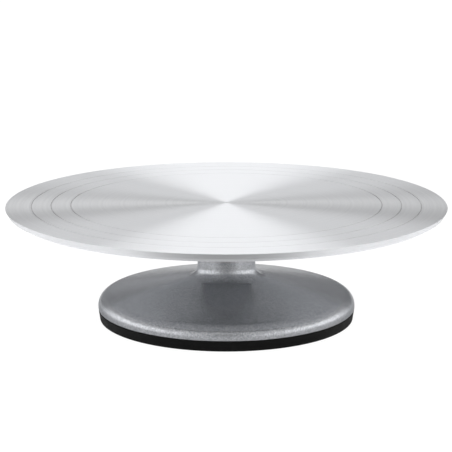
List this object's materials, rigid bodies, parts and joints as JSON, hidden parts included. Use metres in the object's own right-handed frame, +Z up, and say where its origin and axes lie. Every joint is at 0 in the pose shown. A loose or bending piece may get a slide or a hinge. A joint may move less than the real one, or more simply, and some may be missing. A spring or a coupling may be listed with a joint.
{
  "type": "cake turntable",
  "caption": "Round metal cake turntable: a flat turned plate with guide rings that spins freely on a bearing pedestal with a flared cast base and a rubber foot ring.",
  "frame": {"origin": "centre of the rubber foot ring's flat face, on the surface the turntable stands on", "axes": "+Z up along the spin axis, towards the plate's top face; +X and +Y are horizontal, with the four ribs and the four plate screws between them"},
  "size_m": [0.3048, 0.3048, 0.0812],
  "materials": {
    "turned_aluminium": "fine circular turning marks, satin",
    "silver_paint": "silver-grey metallic paint with a fine hammered speckle",
    "cast_aluminium": "machined casting, satin",
    "rubber": "matte black moulded rubber",
    "bearing_steel": "ground and polished bearing steel",
    "plain_steel": "zinc-plated steel",
    "nylon": "natural moulded nylon",
    "black_plastic": "matte black moulded plastic"
  },
  "bodies": {
    "base": {"base_casting": "silver_paint", "rubber_foot_ring": "rubber", "bottom_dust_cap": "black_plastic", "upper_bearing_outer_ring": "bearing_steel", "upper_bearing_top_shield": "bearing_steel", "upper_bearing_bottom_shield": "bearing_steel", "lower_bearing_outer_ring": "bearing_steel", "lower_bearing_top_shield": "bearing_steel", "lower_bearing_bottom_shield": "bearing_steel"},
    "turntable": {"turntable_plate": "turned_aluminium", "hub_flange": "cast_aluminium", "plate_screw_1": "plain_steel", "plate_screw_2": "plain_steel", "plate_screw_3": "plain_steel", "plate_screw_4": "plain_steel", "spindle": "plain_steel", "bearing_spacer": "cast_aluminium", "spindle_washer": "plain_steel", "spindle_nut": "plain_steel", "upper_bearing_inner_ring": "bearing_steel", "lower_bearing_inner_ring": "bearing_steel"},
    "upper_ball_set": {"upper_bearing_cage": "nylon", "upper_ball_1": "bearing_steel", "upper_ball_2": "bearing_steel", "upper_ball_3": "bearing_steel", "upper_ball_4": "bearing_steel", "upper_ball_5": "bearing_steel", "upper_ball_6": "bearing_steel", "upper_ball_7": "bearing_steel"},
    "lower_ball_set": {"lower_bearing_cage": "nylon", "lower_ball_1": "bearing_steel", "lower_ball_2": "bearing_steel", "lower_ball_3": "bearing_steel", "lower_ball_4": "bearing_steel", "lower_ball_5": "bearing_steel", "lower_ball_6": "bearing_steel", "lower_ball_7": "bearing_steel"}
  },
  "joints": [
    {"name": "plate_spin", "type": "hinge", "parent": "base", "child": "turntable", "pos_m": [0, 0, 0], "axis": [0, 0, 1], "continuous": true},
    {"name": "upper_cage_orbit", "type": "hinge", "parent": "base", "child": "upper_ball_set", "pos_m": [0, 0, 0.061], "axis": [0, 0, 1], "continuous": true},
    {"name": "lower_cage_orbit", "type": "hinge", "parent": "base", "child": "lower_ball_set", "pos_m": [0, 0, 0.031], "axis": [0, 0, 1], "continuous": true}
  ],
  "couplings": [
    {"joint": "upper_cage_orbit", "follows": "plate_spin", "ratio": 0.3659},
    {"joint": "lower_cage_orbit", "follows": "plate_spin", "ratio": 0.3659}
  ]
}
